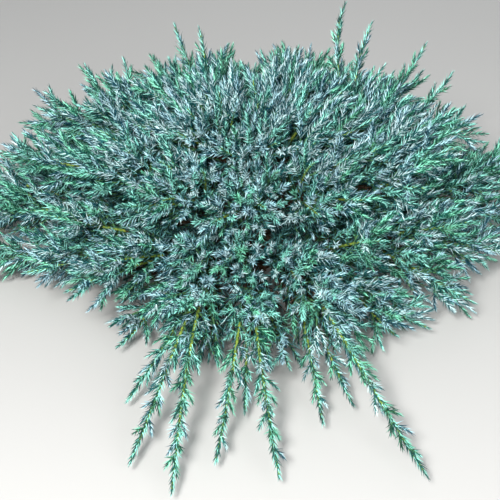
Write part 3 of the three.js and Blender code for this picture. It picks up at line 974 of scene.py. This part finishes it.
def tint_of(shoot, draw):
    """Leaders are teal. Other shoots go from silver to greener, darker tints towards the mound's edge and
    back; the greener hue is the plant's own, and the darkness is painted shade.
    """
    if shoot.rank == "leader":
        return "teal"
    outward = math.hypot(*shoot.path.tip[:2]) / MOUND_REACH
    backward = GREENER_AND_SHADED_BACKWARDS * max(0.0, shoot.path.tip[1]) / MOUND_REACH
    chance = draw(0, 1) + GREENER_AND_SHADED_OUTWARDS * (outward - MIDWAY) + backward
    return next(tint for tint, most in OUTER_TINTS if chance < most)


def needle_lean(from_tip, rank):
    young = np.clip(from_tip / YOUNG_STRETCH, 0, 1) ** YOUNG_POWER
    old = np.clip((from_tip - YOUNG_STRETCH) / OLD_STRETCH, 0, 1)
    lean = np.radians(TIP_LEAN + YOUNG_LEAN * young + OLD_LEAN * old)
    return lean * (LEADER_LEAN if rank == "leader" else 1)


def needle_size(from_tip, rank):
    grown_size = TIP_SIZE + SIZE_GAIN * np.clip(from_tip / SMALL_STRETCH, 0, 1)
    return grown_size + (LEADER_SIZE_GAIN if rank == "leader" else 0)


tinting = seeded(TINT_SEED)
needle_graph = needle_tree()
rows = {tint: [] for tint in TINTS}
values = {tint: {"lean": [], "size": [], "gap": []} for tint in TINTS}
for shoot in shoots:
    if not shoot.live:
        continue
    # The lit part of a shoot gets its own tint, and the dim parts get painted shade.
    for tint, first, last in (
        (tint_of(shoot, tinting), shoot.dull, 1.0),
        ("shade", shoot.deep, shoot.dull),
        ("deep", shoot.bare, shoot.deep),
    ):
        if (last - first) * shoot.length < LEAST_NEEDLED:
            continue
        shares = evenly(first, last, round((last - first) * shoot.length / NEEDLED_SPACING))
        from_tip = (1 - shares) * shoot.length
        gap = SHADED_GAP if tint in SHADED_TINTS else WHORL_GAP[shoot.rank]
        rows[tint].append(shoot.path.at(shares))
        values[tint]["lean"].append(needle_lean(from_tip, shoot.rank))
        values[tint]["size"].append(needle_size(from_tip, shoot.rank))
        values[tint]["gap"].append(np.full(len(shares), gap * METRE))
for i, (tint, (bloom, back)) in enumerate(TINTS.items()):
    name = f"needles_{tint}"
    inputs = {
        "Length": NEEDLE_LENGTH,
        "Width": NEEDLE_WIDTH,
        "Thickness": NEEDLE_THICKNESS,
        "Dark Share": DARK_SHARE,
        "Seed": TINT_SEED_STEP * i,
        "Bloom": needle_finish(f"{tint}_bloom", paint(*bloom), BLOOM_ROUGHNESS),
        "Back": needle_finish(f"{tint}_back", paint(*back), BACK_ROUGHNESS),
    }
    piece = grown(name, paths_mesh(name, rows[tint], values[tint]), needle_graph, inputs)
    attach(piece, "root")
    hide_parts(*foliage_nodes)

# Floor, lights and camera
# A plain pale floor under a soft studio sky. A small key light and a broad fill stand in front, and
# a weak light behind. The camera looks from the front and from well above.
FLOOR_EDGE = 6.0
FLOOR_DROP = 0.0006  # below the stem's flat cut
LIT_POINT = Vector((0, 0, 0.1))
CAMERA_DROP = 32  # degrees that the view looks down
floor_mesh = bpy.data.meshes.new("floor")
corners = [(FLOOR_EDGE * x, FLOOR_EDGE * y, 0) for x, y in ((-1, -1), (1, -1), (1, 1), (-1, 1))]
floor_mesh.from_pydata(corners, [], [(0, 1, 2, 3)])
floor = bpy.data.objects.new("floor", floor_mesh)
floor.location.z = -FLOOR_DROP
bpy.context.scene.collection.objects.link(floor)
floor_material, graph = new_material("pale_floor")
shader = graph.add("ShaderNodeBsdfPrincipled", None, {"Base Color": (0.5, 0.49, 0.475, 1), "Roughness": 0.9})
graph.add("ShaderNodeOutputMaterial", None, {"Surface": shader})
floor_mesh.materials.append(floor_material)


def soft_light(name, place, size, power, colour):
    lamp = bpy.data.lights.new(name, "AREA")
    lamp.shape, lamp.size, lamp.energy, lamp.color = "DISK", size, power, colour
    obj = bpy.data.objects.new(name, lamp)
    obj.location = place
    obj.rotation_euler = (LIT_POINT - Vector(place)).to_track_quat("-Z", "Y").to_euler()
    bpy.context.scene.collection.objects.link(obj)


soft_light("key_light", (-0.45, -1.45, 1.35), size=0.6, power=60, colour=(1, 1, 0.99))
soft_light("fill_light", (0.9, -1.6, 0.95), size=1.4, power=23, colour=(0.95, 0.98, 1))
soft_light("back_light", (0.4, 1.5, 1.2), size=1.4, power=7, colour=(0.95, 0.98, 1))

world = bpy.data.worlds.new("studio")
bpy.context.scene.world = world
world.use_nodes = True
world.node_tree.nodes.clear()
graph = Graph(world.node_tree)
sky = graph.add("ShaderNodeBackground", None, {"Color": (0.88, 0.94, 1, 1), "Strength": 0.26})
graph.add("ShaderNodeOutputWorld", None, {"Surface": sky})

camera_data = bpy.data.cameras.new("camera")
camera_data.lens = 88.9
camera = bpy.data.objects.new("camera", camera_data)
camera.location = (0, -1.122, 0.7177)
camera.rotation_euler = (math.radians(90 - CAMERA_DROP), 0, 0)
bpy.context.scene.collection.objects.link(camera)
bpy.context.scene.camera = camera
bpy.context.scene.view_settings.view_transform = "Standard"
